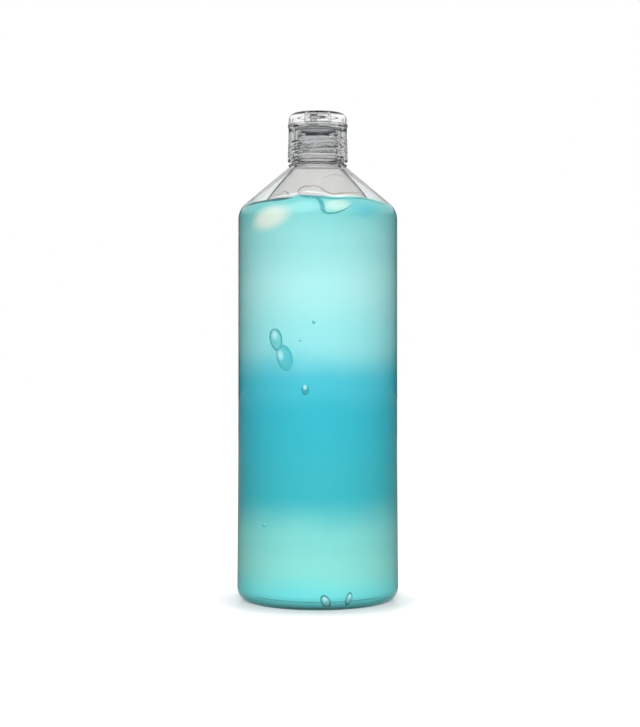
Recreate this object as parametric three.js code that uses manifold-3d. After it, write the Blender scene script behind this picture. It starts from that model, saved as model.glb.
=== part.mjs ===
// Clear gel bottle with a hinged flip-top screw closure.
// Millimetres, +Z up, standing on Z = 0 with the bottle's axis on Z.
import * as THREE from "three";
import { mergeVertices, toCreasedNormals } from "three/addons/utils/BufferGeometryUtils.js";
import Module from "manifold-3d";

const wasm = await Module();
wasm.setup();

// Fits
const CLEAR = 0.3;
const SLIP = 0.4;

// Blown body
const BODY_D = 82.0;
const BODY_H = 196.85;
const FOOT_SWELL = 0.55;
const HEEL_R = 7.2;
const PUSH_UP = 3.2;
const STAND_W = 5.0;
const WALL = 0.8;
const FLOOR_T = 2.4;
const SHOULDER_R = 9.8;
const CONE_DEG = 40.2;

// Neck finish
const NECK_D = 27.2;
const ROOT_D = 25.0;
const BORE_D = 21.5;
const BEAD_OUT = 1.5;
const BEAD_T = 0.8;
const COLLAR_H = 3.7;
const FINISH_H = 18.0;

// Gel fill, measured up from where the shoulder turns into the cone
const FILL_RISE = 0.7;

// Screw closure
const SEAL_T = 0.8;
const DECK_T = 1.5;
const SKIRT_H = 18.4;
const SKIRT_WALL = 1.55;
const SKIRT_TAPER = 0.45;
const PLUG_T = 0.9;
const PLUG_H = 4.5;
const FLANGE_OUT = 0.85;
const FLANGE_T = 1.0;
const PAD_D = 11.0;
const PAD_H = 1.6;
const ORIFICE_D = 4.9;
const ORIFICE_OFFSET = 3.2;

// Flip lid
const LID_H = 7.15;
const LID_WALL = 1.5;
const LID_TOP_T = 2.0;
const LID_CORNER = 3.0;
const LIP_OUT = 0.75;
const RING_T = 1.0;
const THUMB_OUT = 0.75;
const THUMB_DEG = 40;

// Living hinge and the way the closure came to rest on its thread
const HINGE_W = 9.0;
const HINGE_LAND = 2.4;
const HINGE_T = 0.45;
const CLOCK_DEG = 40;

// Facets
const BODY_SEGMENTS = 48;
const CAP_SEGMENTS = 40;

// Worked-out radii and levels
const rad = THREE.MathUtils.degToRad;
const bodyR = BODY_D / 2;
const footR = bodyR + FOOT_SWELL;
const standIn = footR - HEEL_R - STAND_W;
const coneTilt = rad(CONE_DEG);
const coneSlope = Math.tan(coneTilt);
const shoulderTurn = Math.PI / 2 - coneTilt;
const shoulderC = bodyR - SHOULDER_R;
const neckR = NECK_D / 2;
const rootR = ROOT_D / 2;
const boreR = BORE_D / 2;
const beadR = neckR + BEAD_OUT;
const coneTopR = neckR + 0.7;
const coneTopZ = coneZ(SHOULDER_R, coneTopR);
const beadZ = coneTopZ + 0.15;
const rimZ = coneTopZ + FINISH_H;
const fillZ = coneStart(SHOULDER_R).y + FILL_RISE;

const sealZ = rimZ + CLEAR;
const deckUnderZ = sealZ + SEAL_T + CLEAR;
const deckZ = deckUnderZ + DECK_T;
const skirtZ = deckZ - SKIRT_H;
const skirtIn = neckR + CLEAR + 0.05;
const skirtOut = skirtIn + SKIRT_WALL;
const skirtTopR = skirtOut - SKIRT_TAPER;
const flangeR = skirtTopR + FLANGE_OUT;
const plugR = boreR - CLEAR - 0.05;
const partZ = deckZ - 0.15;
const padR = PAD_D / 2;
const orificeR = ORIFICE_D / 2;

const lidZ = partZ + CLEAR;
const lidTopZ = lidZ + LID_H;
const lidR = skirtTopR + 0.05;
const lidIn = lidR - LID_WALL;
const ceilingZ = lidTopZ - LID_TOP_T;
const seatR = lidIn - SLIP;
const landY = skirtTopR + 0.55;

// Where a skin that turns the shoulder at turnR leaves the turn for the cone.
function coneStart(turnR) {
  const r = shoulderC + turnR * Math.cos(shoulderTurn);
  const z = BODY_H + turnR * Math.sin(shoulderTurn);
  return new THREE.Vector2(r, z);
}

// Height of that skin's cone at radius r, and its radius at height z.
function coneZ(turnR, r) {
  const start = coneStart(turnR);
  return start.y + (start.x - r) * coneSlope;
}

function coneR(turnR, z) {
  const start = coneStart(turnR);
  return start.x - (z - start.y) / coneSlope;
}

// Turns a section, drawn as radius against height, about the bottle's axis.
// A section drawn from the top down is taken the other way round, so that its faces look out.
function revolve(section, segments, fromTop = false) {
  const points = section.getPoints(3);
  const clean = points.filter((p, i) => i === 0 || p.distanceTo(points[i - 1]) > 1e-3);
  const upward = fromTop ? clean.reverse() : clean;
  return new THREE.LatheGeometry(upward, segments).rotateX(Math.PI / 2);
}

function solid(geometry) {
  const bare = geometry.clone();
  bare.deleteAttribute("normal");
  bare.deleteAttribute("uv");
  const merged = mergeVertices(bare, 1e-3);
  return new wasm.Manifold(
    new wasm.Mesh({
      numProp: 3,
      vertProperties: merged.attributes.position.array,
      triVerts: new Uint32Array(merged.index.array),
    }),
  );
}

function geometryOf(body) {
  const mesh = body.getMesh();
  const geometry = new THREE.BufferGeometry();
  geometry.setAttribute("position", new THREE.BufferAttribute(mesh.vertProperties, 3));
  geometry.setIndex(new THREE.BufferAttribute(mesh.triVerts, 1));
  return toCreasedNormals(geometry, rad(30));
}

function box(sizeX, sizeY, sizeZ, x, y, z) {
  return solid(new THREE.BoxGeometry(sizeX, sizeY, sizeZ).translate(x, y, z));
}

function clearPlastic(color, opacity) {
  return new THREE.MeshStandardMaterial({
    color,
    roughness: 0.12,
    metalness: 0,
    transparent: true,
    opacity,
  });
}

function piece(name, geometry, material) {
  const mesh = new THREE.Mesh(geometry, material);
  mesh.name = name;
  return mesh;
}

// Inside face of the body from the throat down to the axis, set in by gap.
function insideFace(section, gap) {
  const turnR = SHOULDER_R - WALL - gap;
  const innerHeel = HEEL_R - WALL - 1.0;
  const heelZ = FLOOR_T + innerHeel;
  const heelC = footR - WALL - innerHeel;
  section.absarc(shoulderC, BODY_H, turnR, shoulderTurn, 0, true);
  section.lineTo(bodyR - WALL - gap, 0.7 * BODY_H);
  section.quadraticCurveTo(bodyR - WALL - gap, 0.3 * BODY_H, footR - WALL - gap, heelZ);
  section.absarc(heelC, heelZ, innerHeel - gap, 0, -Math.PI / 2, true);
  section.lineTo(standIn, FLOOR_T + gap);
  section.quadraticCurveTo(0.6 * standIn, FLOOR_T + PUSH_UP + gap, 0, FLOOR_T + PUSH_UP + gap);
}

// Bottle: one blown shell, from the push-up under the base to the open neck and back down inside.
function bottleSection() {
  const section = new THREE.Path();
  section.moveTo(0, PUSH_UP);
  section.quadraticCurveTo(0.6 * standIn, PUSH_UP, standIn, 0);
  section.lineTo(footR - HEEL_R, 0);
  section.absarc(footR - HEEL_R, HEEL_R, HEEL_R, -Math.PI / 2, 0, false);
  section.quadraticCurveTo(bodyR, 0.3 * BODY_H, bodyR, 0.7 * BODY_H);
  section.lineTo(bodyR, BODY_H);
  section.absarc(shoulderC, BODY_H, SHOULDER_R, 0, shoulderTurn, false);
  section.lineTo(coneTopR, coneTopZ);
  section.lineTo(beadR - 0.2, beadZ);
  section.lineTo(beadR, beadZ + 0.2);
  section.lineTo(beadR, beadZ + BEAD_T - 0.2);
  section.lineTo(beadR - 0.2, beadZ + BEAD_T);
  section.lineTo(neckR, beadZ + BEAD_T + 0.25);
  section.lineTo(neckR, beadZ + BEAD_T + COLLAR_H);
  section.lineTo(rootR, beadZ + BEAD_T + COLLAR_H + (neckR - rootR));
  section.lineTo(rootR, rimZ - 0.5);
  section.lineTo(rootR - 0.5, rimZ);
  section.lineTo(boreR + 0.3, rimZ);
  section.lineTo(boreR, rimZ - 0.4);
  section.lineTo(boreR, coneZ(SHOULDER_R - WALL, boreR));
  insideFace(section, 0);
  return section;
}

// Gel: fills the body to a level just over the shoulder's turn.
function gelSection() {
  const turnR = SHOULDER_R - WALL - CLEAR;
  const section = new THREE.Path();
  section.moveTo(0, fillZ);
  section.lineTo(coneR(turnR, fillZ), fillZ);
  insideFace(section, CLEAR);
  return section;
}

// Sealing ring: flat washer between the neck's rim and the deck, round the plug.
function ringSection() {
  const section = new THREE.Path();
  section.moveTo(plugR + CLEAR + 0.05, sealZ);
  section.lineTo(rootR, sealZ);
  section.lineTo(rootR, sealZ + SEAL_T);
  section.lineTo(plugR + CLEAR + 0.05, sealZ + SEAL_T);
  section.lineTo(plugR + CLEAR + 0.05, sealZ);
  return section;
}

// Cap base: deck with a plug seal below and a pouring pad above, and the skirt that screws on.
function capBaseSection() {
  const flangeZ = partZ - FLANGE_T;
  const plugTipZ = deckUnderZ - PLUG_H;
  const seatZ = partZ + 0.75;
  const section = new THREE.Path();
  section.moveTo(0, deckUnderZ);
  section.lineTo(plugR - PLUG_T, deckUnderZ);
  section.lineTo(plugR - PLUG_T, plugTipZ);
  section.lineTo(plugR - 0.35, plugTipZ);
  section.lineTo(plugR, plugTipZ + 1.2);
  section.lineTo(plugR, deckUnderZ);
  section.lineTo(skirtIn, deckUnderZ);
  section.lineTo(skirtIn, skirtZ + 0.8);
  section.lineTo(skirtIn + 0.5, skirtZ);
  section.lineTo(skirtOut - 0.3, skirtZ);
  section.lineTo(skirtOut, skirtZ + 0.3);
  section.lineTo(skirtTopR, flangeZ - 0.3);
  section.lineTo(flangeR, flangeZ + 0.25);
  section.lineTo(flangeR, partZ - 0.2);
  section.lineTo(flangeR - 0.2, partZ);
  section.lineTo(seatR, partZ);
  section.lineTo(seatR, seatZ - 0.3);
  section.lineTo(seatR - 0.3, seatZ);
  section.lineTo(seatR - 1.0, seatZ);
  section.lineTo(seatR - 1.0, deckZ);
  section.lineTo(padR + 0.4, deckZ);
  section.lineTo(padR, deckZ + 0.4);
  section.lineTo(padR, deckZ + PAD_H - 0.5);
  section.lineTo(padR - 0.5, deckZ + PAD_H);
  section.lineTo(0, deckZ + PAD_H);
  return section;
}

// Flip lid: cup with a rounded top edge, a lip at its mouth and a ring that closes round the pad.
function lidSection() {
  const ringIn = padR + SLIP;
  const ringTipZ = deckZ + 0.55;
  const section = new THREE.Path();
  section.moveTo(0, ceilingZ);
  section.lineTo(ringIn, ceilingZ);
  section.lineTo(ringIn, ringTipZ);
  section.lineTo(ringIn + RING_T, ringTipZ);
  section.lineTo(ringIn + RING_T, ceilingZ);
  section.lineTo(lidIn - 0.9, ceilingZ);
  section.lineTo(lidIn, ceilingZ - 0.9);
  section.lineTo(lidIn, lidZ);
  section.lineTo(lidR + LIP_OUT - 0.2, lidZ);
  section.lineTo(lidR + LIP_OUT, lidZ + 0.2);
  section.lineTo(lidR + LIP_OUT, lidZ + 0.55);
  section.lineTo(lidR, lidZ + 1.2);
  section.absarc(lidR - LID_CORNER, lidTopZ - LID_CORNER, LID_CORNER, 0, Math.PI / 2, false);
  section.lineTo(0, lidTopZ);
  return section;
}

// Pin under the lid that stops the orifice, with a tapered tip.
function pinSection() {
  const pinR = orificeR - CLEAR;
  const tipZ = deckUnderZ + 0.9;
  const section = new THREE.Path();
  section.moveTo(0, tipZ);
  section.lineTo(pinR - 0.5, tipZ);
  section.lineTo(pinR, tipZ + 1.2);
  section.lineTo(pinR, ceilingZ + 0.6);
  section.lineTo(0, ceilingZ + 0.6);
  return section;
}

// Thumb lip: a short sector standing out from the front of the lid's mouth.
function thumbLip() {
  const half = rad(THUMB_DEG / 2);
  const front = -Math.PI / 2;
  const outerR = lidR + LIP_OUT + THUMB_OUT;
  const sector = new THREE.Shape();
  sector.absarc(0, 0, outerR, front - half, front + half, false);
  sector.absarc(0, 0, lidR - 0.7, front + half, front - half, true);
  sector.closePath();
  return new THREE.ExtrudeGeometry(sector, {
    depth: 1.3,
    bevelEnabled: false,
    curveSegments: 6,
  }).translate(0, 0, lidZ);
}

// Living hinge: a moulded strap across the parting line, waisted where it folds.
function hingeStrap() {
  const y = landY + CLEAR;
  const foldZ = (partZ + lidZ) / 2;
  const reach = HINGE_LAND - 0.1;
  const waist = new THREE.Shape();
  waist.moveTo(y, foldZ - reach);
  waist.lineTo(y + HINGE_T, foldZ - reach);
  waist.lineTo(y + HINGE_T, foldZ - 0.7);
  waist.lineTo(y + 0.25, foldZ - 0.25);
  waist.lineTo(y + 0.25, foldZ + 0.25);
  waist.lineTo(y + HINGE_T, foldZ + 0.7);
  waist.lineTo(y + HINGE_T, foldZ + reach);
  waist.lineTo(y, foldZ + reach);
  waist.closePath();
  // The section is drawn in Y and Z, so it is extruded and then turned to run along X.
  const strap = new THREE.ExtrudeGeometry(waist, {
    depth: HINGE_W - 1.0,
    bevelEnabled: false,
  });
  strap.applyMatrix4(
    new THREE.Matrix4().makeBasis(
      new THREE.Vector3(0, 1, 0),
      new THREE.Vector3(0, 0, 1),
      new THREE.Vector3(1, 0, 0),
    ),
  );
  return strap.translate(-(HINGE_W - 1.0) / 2, 0, 0);
}

// Flat land for the hinge at the back of a moulding, with the flange cut back level with it.
function withHingeLand(body, lowZ) {
  const depth = 1.4;
  const midZ = lowZ + HINGE_LAND / 2;
  const land = box(HINGE_W, depth, HINGE_LAND, 0, landY - depth / 2, midZ);
  const behind = box(HINGE_W + 1.2, 4, HINGE_LAND + 2, 0, landY + 2, midZ);
  return body.add(land).subtract(behind);
}

const orificeAxis = solid(
  new THREE.CylinderGeometry(orificeR, orificeR, DECK_T + PAD_H + 4, 28).rotateX(Math.PI / 2),
).translate([0, -ORIFICE_OFFSET, deckZ]);

const scoopR = 6.0;
const thumbScoop = solid(
  new THREE.CylinderGeometry(scoopR, scoopR, 11, 40).rotateZ(Math.PI / 2),
).translate([0, -(skirtTopR + scoopR - 0.5), partZ - 1.6]);

const capBase = withHingeLand(solid(revolve(capBaseSection(), CAP_SEGMENTS)), partZ - HINGE_LAND)
  .subtract(orificeAxis)
  .subtract(thumbScoop);

const pin = solid(revolve(pinSection(), 24)).translate([0, -ORIFICE_OFFSET, 0]);
const flipLid = withHingeLand(solid(revolve(lidSection(), CAP_SEGMENTS)), lidZ)
  .add(solid(thumbLip()))
  .add(pin);

const clearPet = clearPlastic(0xe9eef0, 0.3);
const clearCap = clearPlastic(0xdfe5e6, 0.4);
const aquaGel = new THREE.MeshStandardMaterial({
  color: 0x7fdde0,
  roughness: 0.25,
  metalness: 0,
  transparent: true,
  opacity: 0.85,
});
const paleSeal = new THREE.MeshStandardMaterial({
  color: 0x9aa3a5,
  roughness: 0.6,
  metalness: 0,
});

const container = new THREE.Group();
container.add(piece("bottle", revolve(bottleSection(), BODY_SEGMENTS), clearPet));
container.add(piece("gel", revolve(gelSection(), BODY_SEGMENTS, true), aquaGel));

const closure = new THREE.Group();
closure.rotation.z = -rad(CLOCK_DEG);
closure.add(piece("sealing_ring", revolve(ringSection(), CAP_SEGMENTS), paleSeal));
closure.add(piece("cap_base", geometryOf(capBase), clearCap.clone()));
closure.add(piece("flip_lid", geometryOf(flipLid), clearCap.clone()));
closure.add(piece("living_hinge", hingeStrap(), clearCap.clone()));

const gelBottle = new THREE.Group();
gelBottle.add(container);
gelBottle.add(closure);

export default gelBottle;
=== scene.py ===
import math

import bpy
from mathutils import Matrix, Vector


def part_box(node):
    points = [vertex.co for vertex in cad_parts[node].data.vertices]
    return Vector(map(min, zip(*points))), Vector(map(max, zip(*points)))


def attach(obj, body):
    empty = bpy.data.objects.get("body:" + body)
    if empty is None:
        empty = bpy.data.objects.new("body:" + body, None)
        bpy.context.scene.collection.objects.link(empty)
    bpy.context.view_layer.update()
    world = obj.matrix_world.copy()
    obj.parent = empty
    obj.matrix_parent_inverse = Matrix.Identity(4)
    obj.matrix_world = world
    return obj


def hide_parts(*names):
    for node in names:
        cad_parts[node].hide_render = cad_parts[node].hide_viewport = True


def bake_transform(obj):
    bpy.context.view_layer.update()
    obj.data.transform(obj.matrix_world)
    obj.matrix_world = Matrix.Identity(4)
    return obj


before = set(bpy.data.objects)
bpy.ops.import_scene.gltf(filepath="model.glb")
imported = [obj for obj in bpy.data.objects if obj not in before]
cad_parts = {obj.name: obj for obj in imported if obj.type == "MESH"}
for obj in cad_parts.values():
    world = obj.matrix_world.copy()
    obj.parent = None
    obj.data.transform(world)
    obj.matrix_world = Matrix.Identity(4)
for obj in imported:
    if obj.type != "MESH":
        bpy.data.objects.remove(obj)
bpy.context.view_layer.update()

# ------------------------------------------------------------------------------------------
# Bottle: one stretch-blown shell of clear PET, under a millimetre thick in the wall. The base
# is pushed up so that it stands on a ring, the shoulder turns into a straight cone, and the
# neck above it was moulded first, with its bead and its screw thread.
mm = 0.001
weld = 1e-6
round_steps = 160
foot_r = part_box("bottle")[1].x
rim_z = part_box("bottle")[1].z
foot_swell = 0.55 * mm
body_r = foot_r - foot_swell
body_h = 196.85 * mm
swell_bend, swell_end = 0.3 * body_h, 0.7 * body_h
heel_r = 7.2 * mm
push_up = 3.2 * mm
stand_in = foot_r - heel_r - 5.0 * mm
push_bend = 0.6 * stand_in
wall = 0.8 * mm
base_t = 2.4 * mm
inner_heel_r = heel_r - wall - 1.0 * mm
shoulder_r = 9.8 * mm
shoulder_c = body_r - shoulder_r
cone_angle = 40.2
cone_slope = math.tan(math.radians(cone_angle))
shoulder_turn = 90 - cone_angle
neck_r = 13.6 * mm
neck_fillet = 0.3 * mm
bore_r = 10.75 * mm
cone_top_r = neck_r + 0.7 * mm
cone_top_z = rim_z - 18.0 * mm
bead_z = cone_top_z + 0.15 * mm
bead_t = 0.8 * mm
bead_r = neck_r + 1.5 * mm
bead_edge = 0.4 * mm
collar_z = bead_z + bead_t + 3.7 * mm
thread_foot_z = collar_z + 1.1 * mm
thread_root, thread_crest = 12.5 * mm, 13.65 * mm
thread_pitch = 4.233 * mm
thread_low = 231.3 * mm
thread_turns, thread_start = 1.75, 130
rim_edge, bore_edge = 0.5 * mm, 0.3 * mm


def arc(center, radius, start, stop, steps):
    turns = [math.radians(start + (stop - start) * i / steps) for i in range(steps + 1)]
    return [(center[0] + radius * math.cos(a), center[1] + radius * math.sin(a)) for a in turns]


def straight(a, b, steps=1):
    return [
        (a[0] + (b[0] - a[0]) * i / steps, a[1] + (b[1] - a[1]) * i / steps)
        for i in range(steps + 1)
    ]


def drawn_curve(a, handle, b, steps):
    shares = [i / steps for i in range(steps + 1)]
    return [
        tuple((1 - t) ** 2 * a[k] + 2 * t * (1 - t) * handle[k] + t * t * b[k] for k in (0, 1))
        for t in shares
    ]


# The inside face of the body from the axis up to the throat, moved out into the wall by grow.
def cavity(grow):
    floor_z = base_t + push_up - grow
    heel_c = (foot_r - wall - inner_heel_r, base_t + inner_heel_r)
    side_r = body_r - wall + grow
    top = arc((shoulder_c, body_h), shoulder_r - wall + grow, 0, shoulder_turn, 14)
    face = drawn_curve((0, floor_z), (push_bend, floor_z), (stand_in, base_t - grow), 12)
    face += arc(heel_c, inner_heel_r + grow, -90, 0, 12)
    face += drawn_curve(
        (foot_r - wall + grow, heel_c[1]), (side_r, swell_bend), (side_r, swell_end), 14
    )
    face += straight((side_r, swell_end), (side_r, body_h), 4)[1:-1]
    face += top
    face.append((bore_r, top[-1][1] + (top[-1][0] - bore_r) * cone_slope))
    return face


# Draws an outline of radius against height by extruding one point, and spins it on the axis.
def turned(name, outline, steps):
    points = [p for i, p in enumerate(outline) if i == 0 or math.dist(p, outline[i - 1]) > weld]
    bpy.ops.object.select_all(action="DESELECT")
    bpy.ops.mesh.primitive_plane_add(size=mm, location=(0, 0, 0))
    piece = bpy.context.object
    piece.name = piece.data.name = name
    bpy.ops.object.mode_set(mode="EDIT")
    bpy.ops.mesh.merge(type="CENTER")
    bpy.ops.transform.translate(value=(points[0][0], 0, points[0][1]))
    for a, b in zip(points, points[1:]):
        step = (b[0] - a[0], 0, b[1] - a[1])
        bpy.ops.mesh.extrude_vertices_move(TRANSFORM_OT_translate={"value": step})
    bpy.ops.mesh.select_all(action="SELECT")
    bpy.ops.mesh.spin(steps=steps, angle=2 * math.pi, center=(0, 0, 0), axis=(0, 0, 1))
    close_up()
    return piece


# Merges the doubles of the mesh that is open in edit mode, turns its faces out and closes it.
def close_up():
    bpy.ops.mesh.select_all(action="SELECT")
    bpy.ops.mesh.remove_doubles(threshold=weld)
    bpy.ops.mesh.normals_make_consistent(inside=False)
    bpy.ops.object.mode_set(mode="OBJECT")


def smooth_step(x):
    x = min(1, max(0, x))
    return x * x * (3 - 2 * x)


# Raises a one-start right-hand thread on a turned wall of radius root, fading in and out.
def raise_thread(piece, root, crest, low, turns):
    half_foot, half_crest, fade = 1.05 * mm, 0.35 * mm, 0.12
    on_wall_within = 0.02 * mm
    for v in piece.data.vertices:
        r = math.hypot(v.co.x, v.co.y)
        if abs(r - root) > on_wall_within:
            continue
        lap = ((math.degrees(math.atan2(v.co.y, v.co.x)) - thread_start) % 360) / 360
        raised = 0
        while lap <= turns:
            off = abs(v.co.z - low - lap * thread_pitch)
            ridge = smooth_step((half_foot - off) / (half_foot - half_crest))
            raised = max(raised, ridge * smooth_step(min(lap, turns - lap) / fade))
            lap += 1
        grown = (root + (crest - root) * raised) / r
        v.co.x *= grown
        v.co.y *= grown


def new_finish(name):
    material = bpy.data.materials.new(name)
    material.use_nodes = True
    return material, material.node_tree


# Noise on the piece's own place, so that it stays put as the piece moves.
def noise(tree, scale, detail=2.0):
    place = tree.nodes.new("ShaderNodeTexCoord")
    grain = tree.nodes.new("ShaderNodeTexNoise")
    grain.inputs["Scale"].default_value = scale
    grain.inputs["Detail"].default_value = detail
    tree.links.new(place.outputs["Object"], grain.inputs["Vector"])
    return grain


# Colours a value by stops, each a place from 0 to 1 and a colour.
def toned(tree, value, stops, blend="LINEAR"):
    tones = tree.nodes.new("ShaderNodeValToRGB")
    ramp = tones.color_ramp
    ramp.interpolation = blend
    while len(ramp.elements) < len(stops):
        ramp.elements.new(0.5)
    for stop, (at, colour) in zip(ramp.elements, stops):
        stop.position = at
        stop.color = (*colour, 1)
    tree.links.new(value, tones.inputs["Fac"])
    return tones.outputs["Color"]


def ranged(tree, value, given, wanted=(0, 1), smooth=False):
    change = tree.nodes.new("ShaderNodeMapRange")
    change.interpolation_type = "SMOOTHSTEP" if smooth else "LINEAR"
    for end, level in zip(("From Min", "From Max", "To Min", "To Max"), (*given, *wanted)):
        change.inputs[end].default_value = level
    tree.links.new(value, change.inputs["Value"])
    return change.outputs["Result"]


# Clear moulded plastic: a faint tint that clouds a little, soft ripples from the mould, and a
# grey that shows where the eye looks along the wall. Lamps shine through it on what is inside.
def clear_plastic(name, tint, cloud, ripple, ripple_size, polish, ior, depth):
    material, tree = new_finish(name)
    nodes, links = tree.nodes, tree.links
    shader, out = nodes["Principled BSDF"], nodes["Material Output"]
    waves = noise(tree, 1 / ripple_size).outputs["Fac"]
    links.new(toned(tree, waves, [(0, tint), (1, cloud)]), shader.inputs["Base Color"])
    links.new(ranged(tree, waves, (0, 1), polish), shader.inputs["Roughness"])
    bump = nodes.new("ShaderNodeBump")
    bump.inputs["Strength"].default_value = ripple
    bump.inputs["Distance"].default_value = mm
    links.new(waves, bump.inputs["Height"])
    links.new(bump.outputs["Normal"], shader.inputs["Normal"])
    shader.inputs["Transmission Weight"].default_value = 1.0
    shader.inputs["IOR"].default_value = ior
    rays = nodes.new("ShaderNodeLightPath")
    lamp_through = nodes.new("ShaderNodeBsdfTransparent")
    mix = nodes.new("ShaderNodeMixShader")
    links.new(rays.outputs["Is Shadow Ray"], mix.inputs["Fac"])
    links.new(shader.outputs["BSDF"], mix.inputs[1])
    links.new(lamp_through.outputs["BSDF"], mix.inputs[2])
    links.new(mix.outputs["Shader"], out.inputs["Surface"])
    if depth:
        grey = nodes.new("ShaderNodeVolumeAbsorption")
        grey.inputs["Color"].default_value = (*depth[0], 1)
        grey.inputs["Density"].default_value = depth[1]
        links.new(grey.outputs["Volume"], out.inputs["Volume"])
    return material


def pick(piece):
    bpy.ops.object.select_all(action="DESELECT")
    piece.select_set(True)
    bpy.context.view_layer.objects.active = piece


def finish_piece(piece, material, angle=35):
    piece.data.materials.clear()
    piece.data.materials.append(material)
    pick(piece)
    bpy.ops.object.shade_smooth_by_angle(angle=math.radians(angle))


bottle_outline = drawn_curve((0, push_up), (push_bend, push_up), (stand_in, 0), 12)
bottle_outline += arc((foot_r - heel_r, heel_r), heel_r, -90, 0, 14)
bottle_outline += drawn_curve((foot_r, heel_r), (body_r, swell_bend), (body_r, swell_end), 14)
bottle_outline += straight((body_r, swell_end), (body_r, body_h), 4)
bottle_outline += arc((shoulder_c, body_h), shoulder_r, 0, shoulder_turn, 16)
bottle_outline += straight(bottle_outline[-1], (cone_top_r, cone_top_z), 5)
bottle_outline += arc((bead_r - 0.35 * mm, bead_z + bead_edge), bead_edge, -80, 80, 6)
bottle_outline += arc(
    (neck_r + neck_fillet, bead_z + bead_t + neck_fillet), neck_fillet, -90, -180, 4
)
bottle_outline += straight((neck_r, collar_z - 0.3 * mm), (neck_r, collar_z - 0.05 * mm))
bottle_outline += straight(
    (neck_r - 0.2 * mm, collar_z + 0.15 * mm), (thread_root, thread_foot_z)
)
bottle_outline += straight((thread_root, thread_foot_z), (thread_root, rim_z - rim_edge), 64)
bottle_outline += arc((thread_root - rim_edge, rim_z - rim_edge), rim_edge, 0, 90, 5)
bottle_outline += arc((bore_r + bore_edge, rim_z - bore_edge), bore_edge, 90, 180, 4)
bottle_outline += cavity(0)[::-1]
bottle = turned("bottle", bottle_outline, round_steps)
raise_thread(bottle, thread_root, thread_crest, thread_low, thread_turns)
clear_pet = clear_plastic(
    "clear_pet", tint=(0.99, 0.993, 0.993), cloud=(0.997, 0.998, 0.998), ripple=0.06,
    ripple_size=18 * mm, polish=(0.015, 0.05), ior=1.25, depth=((0.5, 0.5, 0.5), 60),
)
finish_piece(bottle, clear_pet)
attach(bottle, "bottle")
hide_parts("bottle")

# ------------------------------------------------------------------------------------------
# Gel: thick aqua gel, poured in to just over the shoulder's turn. It wets the wall, so its side
# is set a hair into the plastic and no film of air shows; its top stays as it settled, in waves,
# and its colour is banded up its height, deeper at mid height and lightened at the foot as
# painted light, with two pale pockets of air close under the shoulder.
gel_wet = 0.1 * mm
gel_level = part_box("gel")[1].z
cone_foot = cavity(gel_wet)[-2]
layers_low, layers_high = 5, 215
layer_drift = 10 * mm
patch_deep = 14 * mm


# Radius of the wetted wall at a height, from the heel to the cone.
def wetted_r(z):
    heel_z = base_t + inner_heel_r
    if z < heel_z:
        rise = min(inner_heel_r + gel_wet, heel_z - z)
        return foot_r - wall - inner_heel_r + math.sqrt((inner_heel_r + gel_wet) ** 2 - rise * rise)
    if z < swell_end:
        left = 1 - (z - base_t - inner_heel_r) / (swell_end - base_t - inner_heel_r)
        return body_r - wall + gel_wet + foot_swell * left * left
    if z < body_h:
        return body_r - wall + gel_wet
    if z < cone_foot[1]:
        return shoulder_c + math.sqrt((shoulder_r - wall + gel_wet) ** 2 - (z - body_h) ** 2)
    return cone_foot[0] - (z - cone_foot[1]) / cone_slope


# A place on the wetted wall: angle round from the front, positive to the right, and height.
def on_wall(angle, z, out=0):
    r = wetted_r(z) + out
    return Vector((r * math.sin(math.radians(angle)), -r * math.cos(math.radians(angle)), z))


# How far the level's edge stands up at an angle from the front, in mm.
def level_wave(angle):
    main = 1.4 * math.exp(-((angle + 15) / 11) ** 2)
    side = 0.5 * math.exp(-((angle - 38) / 16) ** 2)
    roll = 0.8 * math.sin(math.radians(3 * angle + 40))
    return main + side + (roll - 0.9 * smooth_step((abs(angle) - 40) / 40))


# How far the middle of the settled top stands up or sinks, before it is scaled.
def stirred(x, y):
    return math.sin(x * 190 + 1.3) * math.cos(y * 160 - 0.4) + 0.6 * math.sin(x * 90 - y * 240)


gel_side = [p for p in cavity(gel_wet) if p[1] < cone_foot[1] + 0.1 * mm]
gel_side += straight(cone_foot, (wetted_r(gel_level), gel_level), 3)[1:]
gel_edge_r = wetted_r(gel_level)
gel_top = straight((gel_edge_r - 0.5 * mm, gel_level - 0.4 * mm), (0, gel_level - 0.8 * mm), 24)
gel = turned("gel", gel_side + gel_top, round_steps)
for v in gel.data.vertices:
    r = math.hypot(v.co.x, v.co.y)
    crest = level_wave(math.degrees(math.atan2(v.co.x, -v.co.y)))
    inward = smooth_step((gel_edge_r - r) / (7 * mm))
    if v.co.z > gel_level - 1.0 * mm and r < gel_edge_r - 0.3 * mm:
        v.co.z += (inward * stirred(v.co.x, v.co.y) * 0.7 + (1 - inward) * crest) * mm
    elif v.co.z > body_h:
        z = v.co.z + crest * mm * smooth_step((v.co.z - body_h) / (gel_level - body_h))
        v.co.x *= wetted_r(z) / r
        v.co.y *= wetted_r(z) / r
        v.co.z = z


# Sets a number or a colour on a socket, or links another node's output to it.
def feed(tree, socket, value):
    if isinstance(value, bpy.types.NodeSocket):
        tree.links.new(value, socket)
    else:
        socket.default_value = value


def worked(tree, operation, *values):
    step = tree.nodes.new("ShaderNodeMath")
    step.operation = operation
    for socket, value in zip(step.inputs, values):
        feed(tree, socket, value)
    return step.outputs["Value"]


def vector_worked(tree, operation, *values):
    step = tree.nodes.new("ShaderNodeVectorMath")
    step.operation = operation
    for socket, value in zip(step.inputs, values):
        feed(tree, socket, value)
    return step.outputs["Value" if operation == "LENGTH" else "Vector"]


# Lays the colour over on the colour below, by a share from 0 to 1.
def tinted(tree, share, below, over, how="MIX"):
    blend = tree.nodes.new("ShaderNodeMix")
    blend.data_type = "RGBA"
    blend.blend_type = how
    for place, value in ((0, share), (6, below), (7, over)):
        feed(tree, blend.inputs[place], value)
    return blend.outputs[2]


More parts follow.
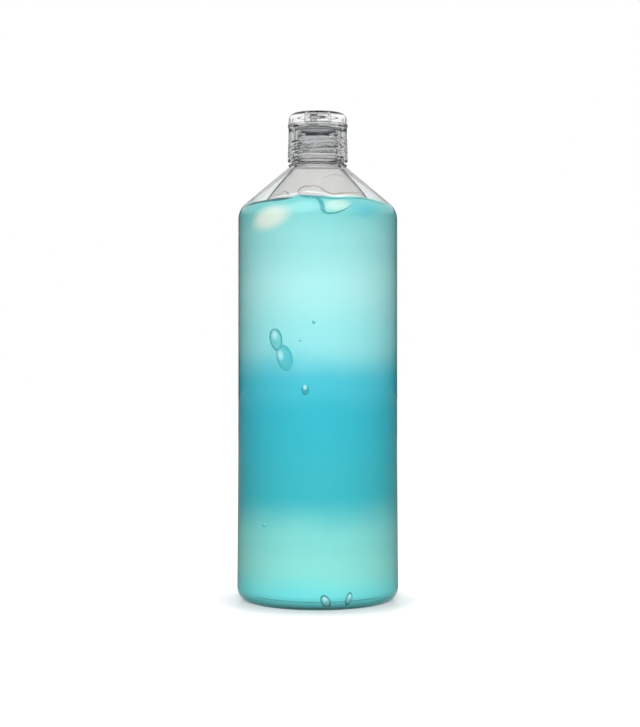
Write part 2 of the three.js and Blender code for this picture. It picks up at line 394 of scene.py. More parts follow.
# The piece's own place, whole and split into X, Y and Z.
def own_place(tree):
    place = tree.nodes.new("ShaderNodeTexCoord").outputs["Object"]
    apart = tree.nodes.new("ShaderNodeSeparateXYZ")
    tree.links.new(place, apart.inputs["Vector"])
    return place, apart.outputs


# Tints the gel softly inside an egg-shaped patch that sits on the wall.
def gel_patch(tree, place, below, middle, half_across, half_up, lean, colour, strength, edge):
    egg = tree.nodes.new("ShaderNodeMapping")
    egg.vector_type = "TEXTURE"
    egg.inputs["Location"].default_value = on_wall(middle[0], middle[1] * mm)
    egg.inputs["Rotation"].default_value = (0, math.radians(lean), math.radians(middle[0]))
    egg.inputs["Scale"].default_value = (half_across * mm, patch_deep, half_up * mm)
    tree.links.new(place, egg.inputs["Vector"])
    reach = vector_worked(tree, "LENGTH", egg.outputs["Vector"])
    share = ranged(tree, reach, (1.0, 1.0 - edge), (0, strength), smooth=True)
    return tinted(tree, share, below, (*colour, 1))


aqua_gel, tree = new_finish("aqua_gel")
shader = tree.nodes["Principled BSDF"]
place, apart = own_place(tree)
drift = noise(tree, 26, 1.5).outputs["Fac"]
swirled = worked(tree, "MULTIPLY_ADD", drift, layer_drift, apart["Z"])
height = ranged(tree, swirled, (layers_low * mm, layers_high * mm))
# Height over the lowest layer in mm, and the gel's colour there. The lowest stop is lightened
# as painted light, where the heel turns away from the lamps.
gel_layers = [
    (2, (0.18, 0.82, 0.84)),
    (22, (0.30, 0.83, 0.765)),
    (34, (0.265, 0.79, 0.74)),
    (58, (0.052, 0.55, 0.625)),
    (96, (0.046, 0.56, 0.675)),
    (112, (0.085, 0.62, 0.74)),
    (136, (0.36, 0.86, 0.87)),
    (160, (0.46, 0.90, 0.89)),
    (184, (0.36, 0.80, 0.79)),
    (204, (0.23, 0.70, 0.69)),
]
layer_stops = [(at / (layers_high - layers_low), colour) for at, colour in gel_layers]
gel_banding = toned(tree, height, layer_stops, "EASE")
# Angle and height on the wall, half across, half up, lean, colour, strength and soft edge.
for patch in [
    ((37, 199.5), 15, 5.5, -4, (0.11, 0.60, 0.68), 0.7, 0.95),
    ((-11, 200.5), 11, 4.2, -4, (0.36, 0.82, 0.81), 0.8, 0.6),
    ((-37, 195.4), 16.5, 7.8, -14, (0.80, 0.94, 0.84), 1.0, 0.7),
    ((14, 201.4), 9.5, 4.2, -8, (0.58, 0.86, 0.80), 0.95, 0.7),
]:
    gel_banding = gel_patch(tree, place, gel_banding, *patch)
tree.links.new(gel_banding, shader.inputs["Base Color"])
shader.inputs["Roughness"].default_value = 0.25
shader.inputs["Specular IOR Level"].default_value = 0.2
finish_piece(gel, aqua_gel)
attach(gel, "bottle")
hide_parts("gel")

# ------------------------------------------------------------------------------------------
# Gel film: a thin grey skin of gel that lines the neck and hangs down to the level, inside the
# clear cone, and greys the cone where it lies.
film_t = 0.3 * mm
film_low, film_high = gel_level - 1.2 * mm, cone_top_z + 0.4 * mm
film_low_r, film_high_r = 28.6 * mm, 11.6 * mm
film_bend = (19.2 * mm, 216.2 * mm)
film_neck_r, film_neck_t = bore_r - 0.2 * mm, 0.35 * mm
film_neck_in = film_neck_r - film_neck_t
film_neck_z = rim_z - 5.2 * mm
film_neck_steps = 6
film_outline = straight(
    (film_neck_r, film_neck_z), (film_neck_r, film_high + 2.0 * mm), film_neck_steps
)
film_outline += drawn_curve((film_high_r, film_high), film_bend, (film_low_r, film_low), 16)
film_outline += [(r - film_t, z - film_t) for r, z in film_outline[:film_neck_steps:-1]]
film_outline += [(film_neck_in, film_high + 1.0 * mm), (film_neck_in, film_neck_z)]
film_outline.append(film_outline[0])
gel_film = turned("gel_film", film_outline, round_steps)
grey_skin = clear_plastic(
    "grey_skin", tint=(0.965, 0.96, 0.955), cloud=(1.0, 0.995, 0.99), ripple=0.3,
    ripple_size=9 * mm, polish=(0.03, 0.09), ior=1.05, depth=((0.5, 0.49, 0.485), 440),
)
finish_piece(gel_film, grey_skin)
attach(gel_film, "bottle")

# ------------------------------------------------------------------------------------------
# Gel folds: ridges where one pour of gel folded over another as it settled. The dark ones are
# painted shade, laid in the level's edge, round the air pocket and along the heel; the grey ones
# edge the film on the cone, and the pale ones are painted highlights along it.
ridge_flat = 0.35


def wall_ridge(name, path, out):
    curve = bpy.data.curves.new(name, "CURVE")
    curve.dimensions = "3D"
    curve.resolution_u = 10
    curve.bevel_depth = mm
    curve.bevel_resolution = 3
    curve.use_fill_caps = True
    line = curve.splines.new("BEZIER")
    line.bezier_points.add(len(path) - 1)
    for knot, (angle, z, half) in zip(line.bezier_points, path):
        knot.co = on_wall(angle, z * mm)
        knot.handle_left_type = knot.handle_right_type = "AUTO"
        knot.radius = half
    piece = bpy.data.objects.new(name, curve)
    bpy.context.collection.objects.link(piece)
    pick(piece)
    bpy.ops.object.convert(target="MESH")
    piece = bpy.context.object
    for v in piece.data.vertices:
        r = math.hypot(v.co.x, v.co.y)
        pressed = (wetted_r(v.co.z) + out + (r - wetted_r(v.co.z)) * ridge_flat) / r
        v.co.x *= pressed
        v.co.y *= pressed
    bpy.ops.object.mode_set(mode="EDIT")
    close_up()
    return piece


def streaky_gel(name, dark, pale, grain):
    material, tree = new_finish(name)
    shader = tree.nodes["Principled BSDF"]
    streaks = noise(tree, grain).outputs["Fac"]
    tones = toned(tree, streaks, [(0.3, dark), (0.7, pale)])
    tree.links.new(tones, shader.inputs["Base Color"])
    shader.inputs["Roughness"].default_value = 0.2
    return material


# Painted shade: dark strips in the folds, at the level's edge and along the heel.
fold_painted_shade = streaky_gel("fold_painted_shade", (0.05, 0.34, 0.36), (0.12, 0.50, 0.52), 160)
level_painted_shade = streaky_gel("level_painted_shade", (0.01, 0.11, 0.13), (0.04, 0.22, 0.24), 160)
film_edge = streaky_gel("film_edge", (0.30, 0.28, 0.26), (0.55, 0.53, 0.50), 120)
# Painted highlight: pale strips along the film's edge, standing in for the shine of the gel's edge.
film_painted_highlight = streaky_gel("film_painted_highlight", (0.80, 0.86, 0.85), (0.95, 0.97, 0.96), 120)
# Name, finish, how far it stands out of the wall, and its path: each row gives angle and height
# on the wall and half the ridge's width, in mm.
gel_ridges = [
    ("heel_shade_line", fold_painted_shade, 0.0, [
        (-78, 6.4, 0.05), (-45, 5.4, 0.16), (-15, 5.0, 0.2), (15, 5.0, 0.2), (45, 5.4, 0.16),
        (78, 6.4, 0.05),
    ]),
    ("level_shade_left", level_painted_shade, 0.15 * mm, [
        (-80, 201.8, 0.5), (-58, 203.3, 0.7), (-44, 204.0, 0.7), (-32, 204.5, 0.9),
        (-26, 204.8, 0.6), (-20, 205.2, 0.1),
    ]),
    ("fold_over_shade", fold_painted_shade, 0.15 * mm, [
        (-16, 206.8, 0.2), (-11, 205.8, 0.8), (-4, 205.4, 0.85), (3, 205.2, 0.75),
        (9, 204.6, 0.4), (24, 204.7, 0.25), (40, 204.9, 0.25), (55, 203.2, 0.2),
        (66, 202.6, 0.05),
    ]),
    ("fold_down_shade", fold_painted_shade, 0.15 * mm, [
        (-2, 205.2, 0.4), (1.5, 203.6, 0.9), (3.2, 201.0, 1.1), (3.6, 198.8, 0.9),
        (6, 197.4, 0.5), (13, 197.6, 0.3), (19, 199.0, 0.25), (25, 201.2, 0.15),
        (28, 202.2, 0.05),
    ]),
    ("film_top", film_edge, 0.05 * mm, [
        (-17, 206.8, 0.15), (-17.8, 209.2, 0.4), (-15, 210.9, 0.35), (-8, 211.4, 0.3),
        (0, 211.3, 0.25), (6, 209.0, 0.35), (12, 207.2, 0.4), (22, 207.7, 0.35),
        (33, 208.1, 0.25), (40, 208.2, 0.15), (44, 206.4, 0.05),
    ]),
    ("film_left", film_edge, 0.05 * mm, [
        (-42, 205.6, 0.05), (-36, 207.4, 0.2), (-31.5, 208.6, 0.35), (-27, 207.6, 0.35),
        (-24, 206.2, 0.1),
    ]),
    ("film_high", film_edge, 0.0, [
        (4, 215.2, 0.05), (14, 217.2, 0.16), (30, 218.0, 0.16), (42, 215.4, 0.2),
        (45, 211.6, 0.05),
    ]),
    ("painted_highlight_low", film_painted_highlight, 0.0, [
        (-15, 208.2, 0.1), (-8, 208.4, 0.7), (4, 207.4, 0.6), (13, 206.0, 0.7),
        (26, 206.3, 0.8), (40, 206.4, 0.1),
    ]),
    ("painted_highlight_left", film_painted_highlight, 0.0, [
        (-41, 205.4, 0.1), (-33, 206.2, 0.4), (-27, 206.6, 0.4), (-20, 207.4, 0.8),
        (-17, 208.6, 0.1),
    ]),
]
for name, finish, out, path in gel_ridges:
    ridge = wall_ridge(name, path, out)
    finish_piece(ridge, finish, 60)
    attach(ridge, "bottle")

# ------------------------------------------------------------------------------------------
# Air bubbles: flattened bubbles that lie against the wall, two grown together high up, a few
# small ones, and two long ones caught where the heel turns. Each is painted with a dark rim and a
# darker foot as painted shade, a paler head as painted light, and a pale painted highlight.
bubble_deep = 0.42
bubble_floor = base_t + 0.2 * mm
painted_highlight_tone = (0.48, 0.92, 0.92)
bubble_painted_light, tree = new_finish("bubble_painted_light")
shader = tree.nodes["Principled BSDF"]
tone = tree.nodes.new("ShaderNodeAttribute")
tone.attribute_name = "bubble_painted_shading"
haze = noise(tree, 700).outputs["Color"]
veil = tinted(tree, 0.25, tone.outputs["Color"], haze, "SOFT_LIGHT")
tree.links.new(veil, shader.inputs["Base Color"])
shader.inputs["Roughness"].default_value = 0.12


def tone_between(a, b, share):
    share = min(1, max(0, share))
    return [x + (y - x) * share for x, y in zip(a, b)]


# tones are the colours of rim, foot and head, painted shade and light; the last argument gives
# the painted highlight's place and size on the bubble, 1 being its edge.
def air_bubble(name, middle, half, lean, neck, tones, highlight_spot):
    bpy.ops.object.select_all(action="DESELECT")
    bpy.ops.mesh.primitive_uv_sphere_add(
        segments=48, ring_count=32, radius=1, rotation=(math.radians(90), 0, 0)
    )
    bpy.ops.object.transform_apply(location=True, rotation=True, scale=True)
    piece = bpy.context.object
    piece.name = piece.data.name = name
    paints = piece.data.attributes.new("bubble_painted_shading", "FLOAT_COLOR", "POINT")
    rim, low, high = tones
    middle_z, half_across, half_up = middle[1] * mm, half[0] * mm, half[1] * mm
    lean = math.radians(lean)
    for v, paint in zip(piece.data.vertices, paints.data):
        u, w, deep = v.co.x, v.co.z, v.co.y
        edge = math.hypot(u, w)
        # Painted shade and light: the rim and the foot darker, the head paler, and a pale spot laid
        # on the front as a painted highlight.
        body = tone_between(low, high, 0.5 + 0.6 * w)
        body = tone_between(body, rim, smooth_step((edge - 0.62) / 0.3))
        highlight_reach = 1 - math.hypot(u - highlight_spot[0], w - highlight_spot[1]) / highlight_spot[2]
        lit = smooth_step(highlight_reach * 1.3) * (deep < 0)
        paint.color = (*tone_between(body, painted_highlight_tone, lit), 1)
        across = u * half_across * (1 - neck * w)
        up = w * half_up
        z = middle_z + up * math.cos(lean) - across * math.sin(lean)
        aside = across * math.cos(lean) + up * math.sin(lean)
        angle = middle[0] + math.degrees(aside / wetted_r(middle_z))
        v.co = on_wall(angle, max(z, bubble_floor), -deep * bubble_deep * mm)
    finish_piece(piece, bubble_painted_light, 80)
    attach(piece, "bottle")


blue_tones = (0.08, 0.52, 0.58), (0.07, 0.56, 0.64), (0.13, 0.66, 0.72)
teal_tones = (0.07, 0.44, 0.46), (0.15, 0.64, 0.66), (0.24, 0.75, 0.75)
dark_tones = (0.03, 0.40, 0.47), (0.02, 0.38, 0.45), (0.04, 0.45, 0.52)
speck_tones = (0.13, 0.60, 0.62), (0.08, 0.48, 0.50), (0.2, 0.68, 0.7)
glass_tones = (0.02, 0.20, 0.23), (0.15, 0.58, 0.60), (0.34, 0.80, 0.82)
# Name, angle and height on the wall, half across and half up, lean, neck, tones and the painted
# highlight's place and size.
for bubble in [
    ("bubble_lower", (-24, 125.6), (4.3, 6.7), -16, -0.05, blue_tones, (-0.4, 0.3, 0.55)),
    ("bubble_upper", (-30.8, 134.4), (3.6, 5.9), -14, -0.18, teal_tones, (0.0, 0.45, 0.6)),
    ("bubble_small", (-8.8, 109.8), (1.9, 2.6), -5, 0.0, dark_tones, (0, 0.55, 0.75)),
    ("speck_high", (-2.8, 143.4), (0.9, 0.9), 0, 0.0, speck_tones, (0.3, 0.6, 0.5)),
    ("speck_side", (-12.4, 134.2), (0.6, 0.6), 0, 0.0, speck_tones, (0.3, 0.6, 0.5)),
    ("speck_low", (-41, 42), (0.9, 0.9), 0, 0.0, speck_tones, (0.3, 0.6, 0.5)),
    ("heel_bubble_left", (5.6, 5.2), (2.2, 3.6), -32, 0.0, glass_tones, (0.15, 0.35, 0.5)),
    ("heel_bubble_right", (22.2, 6.2), (1.7, 3.3), 12, 0.0, glass_tones, (0.05, 0.4, 0.5)),
]:
    air_bubble(*bubble)

# ------------------------------------------------------------------------------------------
# Sealing ring: a soft grey washer, die-cut from foamed sheet. It lies loose under the cap's
# deck, which presses it on the neck's rim as the cap is screwed down.
seal_low, seal_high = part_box("sealing_ring")
seal_in, seal_out, seal_edge = 10.75 * mm, 12.5 * mm, 0.15 * mm
seal_outline = arc((seal_out - seal_edge, seal_low.z + seal_edge), seal_edge, -90, 0, 3)
seal_outline += arc((seal_out - seal_edge, seal_high.z - seal_edge), seal_edge, 0, 90, 3)
seal_outline += arc((seal_in + seal_edge, seal_high.z - seal_edge), seal_edge, 90, 180, 3)
seal_outline += arc((seal_in + seal_edge, seal_low.z + seal_edge), seal_edge, 180, 270, 3)
seal_outline.append(seal_outline[0])
sealing_ring = turned("sealing_ring", seal_outline, 96)
soft_seal, tree = new_finish("soft_seal")
shader = tree.nodes["Principled BSDF"]
foam = noise(tree, 2200).outputs["Fac"]
greys = toned(tree, foam, [(0, (0.30, 0.31, 0.31)), (1, (0.42, 0.43, 0.43))])
tree.links.new(greys, shader.inputs["Base Color"])
shader.inputs["Roughness"].default_value = 0.7
finish_piece(sealing_ring, soft_seal)
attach(sealing_ring, "seal")
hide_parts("sealing_ring")

# ------------------------------------------------------------------------------------------
# Cap base: the screw half of the clear closure, one moulding. A skirt with its thread inside, a
# deck with a plug seal under it, a raised pouring pad with its orifice, a scoop for the thumb
# and a flat land at the back for the hinge.
cap_low, cap_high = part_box("cap_base")
clock = -40
cap_steps = 128
skirt_z = cap_low.z
pad_top = cap_high.z
deck_z = pad_top - 1.6 * mm
deck_under = deck_z - 1.5 * mm
part_z = deck_z - 0.15 * mm
flange_z = part_z - 1.0 * mm
skirt_in = neck_r + 0.35 * mm
skirt_out = skirt_in + 1.55 * mm
skirt_top_r = skirt_out - 0.45 * mm
skirt_edge = 0.3 * mm
flange_r = skirt_top_r + 0.4 * mm
flange_edge = 0.25 * mm
cap_crest = 13.25 * mm
cap_turns = 1.9
plug_r = bore_r - 0.35 * mm
plug_in = plug_r - 0.9 * mm
plug_tip = deck_under - 4.5 * mm
lid_in = 13.6 * mm
seat_r = lid_in - 0.4 * mm
seat_z = part_z + 0.75 * mm
pad_r = 5.5 * mm
pad_fillet, pad_edge = 0.4 * mm, 0.5 * mm
orifice_r = 2.45 * mm
orifice_y = -3.2 * mm
scoop_r, scoop_w = 6 * mm, 11 * mm
land_y = skirt_top_r + 0.55 * mm
land_w, land_h, land_d = 9.0 * mm, 2.4 * mm, 1.4 * mm

cap_outline = [
    (0, deck_under), (plug_in, deck_under),
    (plug_in, plug_tip + 0.2 * mm), (plug_in + 0.2 * mm, plug_tip),
    (plug_r - 0.35 * mm, plug_tip), (plug_r - 0.25 * mm, plug_tip + 0.2 * mm),
    (plug_r, plug_tip + 1.2 * mm), (plug_r, deck_under), (skirt_in, deck_under),
]
cap_outline += straight((skirt_in, deck_under - 0.5 * mm), (skirt_in, skirt_z + 0.8 * mm), 84)
cap_outline += [(skirt_in + 0.4 * mm, skirt_z + 0.15 * mm), (skirt_in + 0.6 * mm, skirt_z)]
cap_outline += arc((skirt_out - skirt_edge, skirt_z + skirt_edge), skirt_edge, -90, 0, 4)
cap_outline += straight((skirt_out, skirt_z + 0.5 * mm), (skirt_top_r, flange_z - 0.3 * mm), 6)
cap_outline += arc((flange_r - flange_edge, part_z - flange_edge), flange_edge, -60, 90, 7)
cap_outline += [(seat_r, part_z)]
cap_outline += arc((seat_r - 0.3 * mm, seat_z - 0.3 * mm), 0.3 * mm, 0, 90, 4)
cap_outline += arc((seat_r - 0.8 * mm, seat_z - 0.2 * mm), 0.2 * mm, 90, 180, 3)
cap_outline += [(seat_r - 1.0 * mm, deck_z)]
cap_outline += arc((pad_r + pad_fillet, deck_z + pad_fillet), pad_fillet, -90, -180, 4)
cap_outline += arc((pad_r - pad_edge, pad_top - pad_edge), pad_edge, 0, 90, 5)
cap_outline += [(0, pad_top)]
cap_base = turned("cap_base", cap_outline, cap_steps)
raise_thread(cap_base, skirt_in, cap_crest, thread_low - thread_pitch / 2, cap_turns)


def box_at(size, middle):
    bpy.ops.object.select_all(action="DESELECT")
    bpy.ops.mesh.primitive_cube_add(size=1, location=middle, scale=size)
    bpy.ops.object.transform_apply(location=True, rotation=True, scale=True)
    return bpy.context.object


def rod_at(radius, length, middle, turn=(0, 0, 0), sides=64):
    bpy.ops.object.select_all(action="DESELECT")
    bpy.ops.mesh.primitive_cylinder_add(
        vertices=sides, radius=radius, depth=length, location=middle, rotation=turn
    )
    bpy.ops.object.transform_apply(location=True, rotation=True, scale=True)
    return bpy.context.object


# Joins a shape to a moulding or cuts it away, and drops the shape.
def mould(piece, shape, how):
    pick(piece)
    modifier = piece.modifiers.new(how.lower(), "BOOLEAN")
    modifier.operation = how
    modifier.solver = "EXACT"
    modifier.object = shape
    bpy.ops.object.modifier_apply(modifier=modifier.name)
    bpy.data.objects.remove(shape)


def soften(shape, width, segments):
    bpy.ops.object.mode_set(mode="EDIT")
    bpy.ops.mesh.select_all(action="SELECT")
    bpy.ops.mesh.bevel(offset=width, segments=segments, affect="EDGES")
    bpy.ops.object.mode_set(mode="OBJECT")
    return shape


# Adds the flat land that the hinge stands on, and trims the moulding flush behind it.
def hinge_land(piece, low_z):
    middle_z = low_z + land_h / 2
    land = box_at((land_w, land_d, land_h), (0, land_y - land_d / 2, middle_z))
    mould(piece, soften(land, 0.15 * mm, 2), "UNION")
    trim_size = (land_w + 1.2 * mm, 4 * mm, land_h + 2 * mm)
    mould(piece, box_at(trim_size, (0, land_y + 2 * mm, middle_z)), "DIFFERENCE")


# Turns a piece of the closure from its own front to where the screwed-down closure stops.
def clocked(piece):
    pick(piece)
    bpy.ops.transform.rotate(
        value=math.radians(-clock), orient_axis="Z", center_override=(0, 0, 0)
    )
    bpy.ops.object.transform_apply(location=True, rotation=True, scale=True)


hinge_land(cap_base, part_z - land_h)
mould(cap_base, rod_at(orifice_r, 8 * mm, (0, orifice_y, deck_z)), "DIFFERENCE")
scoop_at = (0, -(skirt_top_r + 5.5 * mm), part_z - 1.6 * mm)
mould(cap_base, rod_at(scoop_r, scoop_w, scoop_at, (0, math.radians(90), 0), 96), "DIFFERENCE")
clocked(cap_base)
# Painted shade: the cap base is tinted a darker grey than the lid, though both are one moulding.
clear_cap = clear_plastic(
    "clear_cap", tint=(0.80, 0.81, 0.815), cloud=(0.84, 0.85, 0.855), ripple=0.05,
    ripple_size=6 * mm, polish=(0.02, 0.07), ior=1.2, depth=((0.5, 0.5, 0.5), 28),
)
finish_piece(cap_base, clear_cap, 30)
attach(cap_base, "cap")
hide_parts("cap_base")

# ------------------------------------------------------------------------------------------
# Flip lid: the lid half of the same moulding. A cup with a rounded top edge and a lip at its
# mouth, a thumb lip in front, and under its ceiling a ring and the pin that stops the orifice,
# which is tinted grey.
lid_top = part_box("flip_lid")[1].z
lid_z = part_z + 0.3 * mm
lid_r = skirt_top_r + 0.05 * mm
lip_r = lid_r + 0.4 * mm
lip_edge = 0.25 * mm
ceiling = lid_top - 2.0 * mm
inner_corner = 0.9 * mm
corner = 3.9 * mm
crown = 0.45 * mm
ring_in = pad_r + 0.4 * mm
ring_out = ring_in + 1.0 * mm
ring_tip = deck_z + 0.55 * mm
ring_round = 0.5 * mm
thumb_r, thumb_half, thumb_fade = lip_r + 0.9 * mm, 22, 6
pin_r = orifice_r - 0.3 * mm
pin_tip = deck_under + 0.9 * mm
pin_root = ceiling + 0.6 * mm
pin_taper = 0.77
pin_grey = (0.58, 0.585, 0.59, 1)
lid_outline = [(0, ceiling), (ring_in - 0.2 * mm, ceiling), (ring_in, ceiling - 0.2 * mm)]
lid_outline += arc((ring_in + ring_round, ring_tip + ring_round), ring_round, 180, 360, 8)
lid_outline += [(ring_out, ceiling - 0.2 * mm), (ring_out + 0.2 * mm, ceiling)]
lid_outline += arc((lid_in - inner_corner, ceiling - inner_corner), inner_corner, 90, 0, 5)
lid_outline += straight((lid_in, ceiling - 1.2 * mm), (lid_in, lid_z + 0.15 * mm), 4)
lid_outline += [(lid_in + 0.15 * mm, lid_z)]
lid_outline += arc((lip_r - lip_edge, lid_z + lip_edge), lip_edge, -90, 60, 7)
lid_outline += arc((lid_r + 0.2 * mm, lid_z + 0.8 * mm), 0.2 * mm, 240, 180, 3)
lid_outline += straight((lid_r, lid_z + 1.2 * mm), (lid_r, lid_top - crown - corner), 4)
lid_outline += arc((lid_r - corner, lid_top - crown - corner), corner, 0, 82, 12)
lid_outline += drawn_curve(lid_outline[-1], (6 * mm, lid_top), (0, lid_top), 8)
flip_lid = turned("flip_lid", lid_outline, cap_steps)
for v in flip_lid.data.vertices:
    r = math.hypot(v.co.x, v.co.y)
    if v.co.z < lid_z + 1.0 * mm and r > lid_r + 0.3 * mm:
        off = abs(math.degrees(math.atan2(v.co.x, -v.co.y)))
        grown = 1 + (thumb_r - lip_r) / lip_r * smooth_step((thumb_half - off) / thumb_fade)
        v.co.x *= grown
        v.co.y *= grown
hinge_land(flip_lid, lid_z)
pin = rod_at(pin_r, pin_root - pin_tip, (0, orifice_y, (pin_root + pin_tip) / 2), sides=48)
for v in pin.data.vertices:
    if v.co.z < pin_tip + 0.1 * mm:
        v.co.x *= pin_taper
        v.co.y = orifice_y + (v.co.y - orifice_y) * pin_taper
mould(flip_lid, pin, "UNION")
clocked(flip_lid)
clear_lid = clear_plastic(
    "clear_lid", tint=(0.997, 0.999, 0.999), cloud=(1.0, 1.0, 1.0), ripple=0.03,
    ripple_size=6 * mm, polish=(0.02, 0.06), ior=1.33, depth=((0.5, 0.5, 0.5), 14),
)
tree = clear_lid.node_tree
place, apart = own_place(tree)
pin_x = orifice_y * math.sin(math.radians(-clock))
pin_y = orifice_y * math.cos(math.radians(clock))
from_pin = vector_worked(tree, "SUBTRACT", place, (pin_x, pin_y, 0))
sideways = vector_worked(tree, "MULTIPLY", from_pin, (1, 1, 0))
off_axis = vector_worked(tree, "LENGTH", sideways)
on_pin = ranged(tree, off_axis, (pin_r + 0.2 * mm, pin_r + 0.1 * mm))
under_ceiling = worked(tree, "LESS_THAN", apart["Z"], ceiling + 0.05 * mm)
pin_only = worked(tree, "MULTIPLY", on_pin, under_ceiling)
clear_tint = tree.nodes["Color Ramp"].outputs["Color"]
lid_tint = tinted(tree, pin_only, clear_tint, pin_grey)
tree.links.new(lid_tint, tree.nodes["Principled BSDF"].inputs["Base Color"])
finish_piece(flip_lid, clear_lid, 30)
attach(flip_lid, "lid")
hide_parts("flip_lid")

# ------------------------------------------------------------------------------------------
# Living hinge: the film strap that was moulded in one with lid and base, thinned on the line
# where it folds. It stands on the two lands at the back.
hinge_y = land_y + 0.3 * mm
hinge_t = 0.45 * mm
hinge_root = 0.35 * mm
fold_z = (part_z + lid_z) / 2
reach = land_h - 0.1 * mm
strap_w = land_w - 1.0 * mm
strap_cuts = [-0.75, -0.6, -0.45, -0.3, -0.2, -0.1, 0, 0.1, 0.2, 0.3, 0.45, 0.6, 0.75]
strap_size = (strap_w, hinge_t + hinge_root, 2 * reach)
hinge = box_at(strap_size, (0, hinge_y + hinge_t / 2 - 0.175 * mm, fold_z))
hinge.name = hinge.data.name = "living_hinge"
bpy.ops.object.mode_set(mode="EDIT")
for cut in strap_cuts:
    bpy.ops.mesh.select_all(action="SELECT")
    bpy.ops.mesh.bisect(plane_co=(0, 0, fold_z + cut * mm), plane_no=(0, 0, 1))
bpy.ops.object.mode_set(mode="OBJECT")
for v in hinge.data.vertices:
    off = abs(v.co.z - fold_z)
    if v.co.y > hinge_y:
        v.co.y -= 0.2 * mm * smooth_step((0.75 * mm - off) / (0.5 * mm))
    else:
        v.co.y += hinge_root * smooth_step((0.8 * mm - off) / (0.3 * mm))
clocked(hinge)
clear_hinge = clear_plastic(
    "clear_hinge", tint=(0.95, 0.965, 0.965), cloud=(0.98, 0.985, 0.985), ripple=0.05,
    ripple_size=3 * mm, polish=(0.03, 0.09), ior=1.49, depth=None,
)
finish_piece(hinge, clear_hinge, 30)
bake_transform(hinge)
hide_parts("living_hinge")

# ------------------------------------------------------------------------------------------
# Studio: a pale table that keeps the bottle's soft shadow, with a painted shadow round the
# bottle's foot where the table's glow is dimmed, a white surround with dark cards and one dark
# band in it so that clear plastic shows its edges, and large soft boxes in front, behind and above.
scene = bpy.context.scene
table_gloss = 0.12
fill_level = 0.14
card_count = 8
bpy.ops.object.select_all(action="DESELECT")
bpy.ops.mesh.primitive_plane_add(size=6.0, location=(0, 0, 0))
table = bpy.context.object
table.name = "table"


# 1 on a ray that has come only through clear plastic, and 0 on one that was scattered before.
def seen_through(tree, rays):
    unscattered = worked(tree, "LESS_THAN", rays["Diffuse Depth"], 0.5)
    return worked(tree, "MULTIPLY", rays["Is Transmission Ray"], unscattered)


table_paint, tree = new_finish("table_paint")
tree.nodes.remove(tree.nodes["Principled BSDF"])
paint = tree.nodes.new("ShaderNodeBsdfDiffuse")
glow = tree.nodes.new("ShaderNodeEmission")
away = vector_worked(tree, "LENGTH", own_place(tree)[0])
painted = ranged(tree, away, (0.040, 0.075), (0.85, 0.14), smooth=True)
tree.links.new(painted, paint.inputs["Color"])
# Painted shadow: the table's glow is dimmed near the bottle, darkest at its foot, so the table
# there stays greyer than white even where lamp light falls.
painted_shadow_glow = ranged(tree, away, (0.040, 0.067), (0.28, 1.0), smooth=True)
rays = tree.nodes.new("ShaderNodeLightPath").outputs
straight_seen = worked(tree, "MAXIMUM", rays["Is Camera Ray"], seen_through(tree, rays))
seen = worked(tree, "MULTIPLY_ADD", rays["Is Glossy Ray"], table_gloss, straight_seen)
tree.links.new(worked(tree, "MULTIPLY", seen, painted_shadow_glow), glow.inputs["Strength"])
both = tree.nodes.new("ShaderNodeAddShader")
tree.links.new(paint.outputs["BSDF"], both.inputs[0])
tree.links.new(glow.outputs["Emission"], both.inputs[1])
tree.links.new(both.outputs["Shader"], tree.nodes["Material Output"].inputs["Surface"])
table.data.materials.append(table_paint)


# Greys by how high a ray points, each stop a height from 0 to 1 and a level.
def by_height(tree, height, levels, blend):
    return toned(tree, height, [(at, (grey, grey, grey)) for at, grey in levels], blend)


# One level where share is 0 and another where it is 1.
def chosen(tree, share, otherwise, then):
    choice = tree.nodes.new("ShaderNodeMix")
    for place, value in ((0, share), (2, otherwise), (3, then)):
        feed(tree, choice.inputs[place], value)
    return choice.outputs[0]


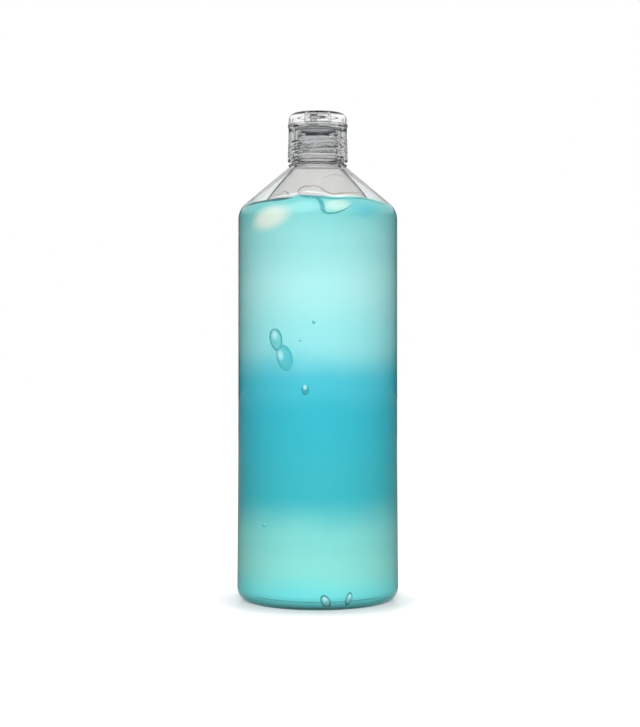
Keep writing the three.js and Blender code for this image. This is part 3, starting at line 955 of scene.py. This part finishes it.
world = bpy.data.worlds.new("studio")
scene.world = world
world.use_nodes = True
tree = world.node_tree
background = tree.nodes["Background"]
direction = tree.nodes.new("ShaderNodeTexCoord")
split = tree.nodes.new("ShaderNodeSeparateXYZ")
tree.links.new(direction.outputs["Generated"], split.inputs["Vector"])
pointing = split.outputs
azimuth = worked(tree, "ARCTAN2", pointing["Y"], pointing["X"])
stripes = worked(tree, "COSINE", worked(tree, "MULTIPLY", azimuth, card_count))
cards = ranged(tree, stripes, (-0.75, 0.1), (0.35, 1.0))
band_levels = [(0.0, 1.0), (0.13, 1.0), (0.17, 0.05), (0.27, 0.05), (0.33, 1.0)]
dark_band = by_height(tree, pointing["Z"], band_levels, "LINEAR")
cards_seen = worked(tree, "MULTIPLY", cards, dark_band)
ring_levels = [(0.0, 0.01), (0.15, 0.02), (0.27, 1.0), (0.70, 1.0), (0.93, 0.4)]
ring_light = by_height(tree, pointing["Z"], ring_levels, "EASE")
rays = tree.nodes.new("ShaderNodeLightPath").outputs
mirrored = chosen(tree, rays["Is Glossy Ray"], fill_level, ring_light)
through = chosen(tree, seen_through(tree, rays), mirrored, cards_seen)
strength = chosen(tree, rays["Is Camera Ray"], through, 1.0)
tree.links.new(strength, background.inputs["Strength"])
background.inputs["Color"].default_value = (1, 1, 1, 1)


def soft_box(name, place, aim, size, power):
    bpy.ops.object.select_all(action="DESELECT")
    bpy.ops.object.light_add(type="AREA", location=place)
    lamp = bpy.context.object
    lamp.name = name
    lamp.data.size = size
    lamp.data.energy = power
    lamp.rotation_euler = (Vector(aim) - Vector(place)).to_track_quat("-Z", "Y").to_euler()
    lamp.visible_glossy = False
    lamp.visible_transmission = False


soft_box("front_box", place=(0, -1.4, 0.65), aim=(0, 0, 0.12), size=0.55, power=16.3)
soft_box("back_box", place=(0, 1.4, 0.65), aim=(0, 0, 0.12), size=0.55, power=10)
soft_box("top_box", place=(0, 0, 1.5), aim=(0, 0, 0), size=1.2, power=2.5)

camera_distance, camera_height = 0.905, 0.1352
bpy.ops.object.select_all(action="DESELECT")
bpy.ops.object.camera_add(
    location=(0, -camera_distance, camera_height), rotation=(math.radians(90), 0, 0)
)
camera = bpy.context.object
camera.data.lens = 86.66
camera.data.sensor_width = 36.0
camera.data.shift_x = 0.0031
camera.data.shift_y = -0.0344
scene.camera = camera
scene.view_settings.view_transform = "Standard"
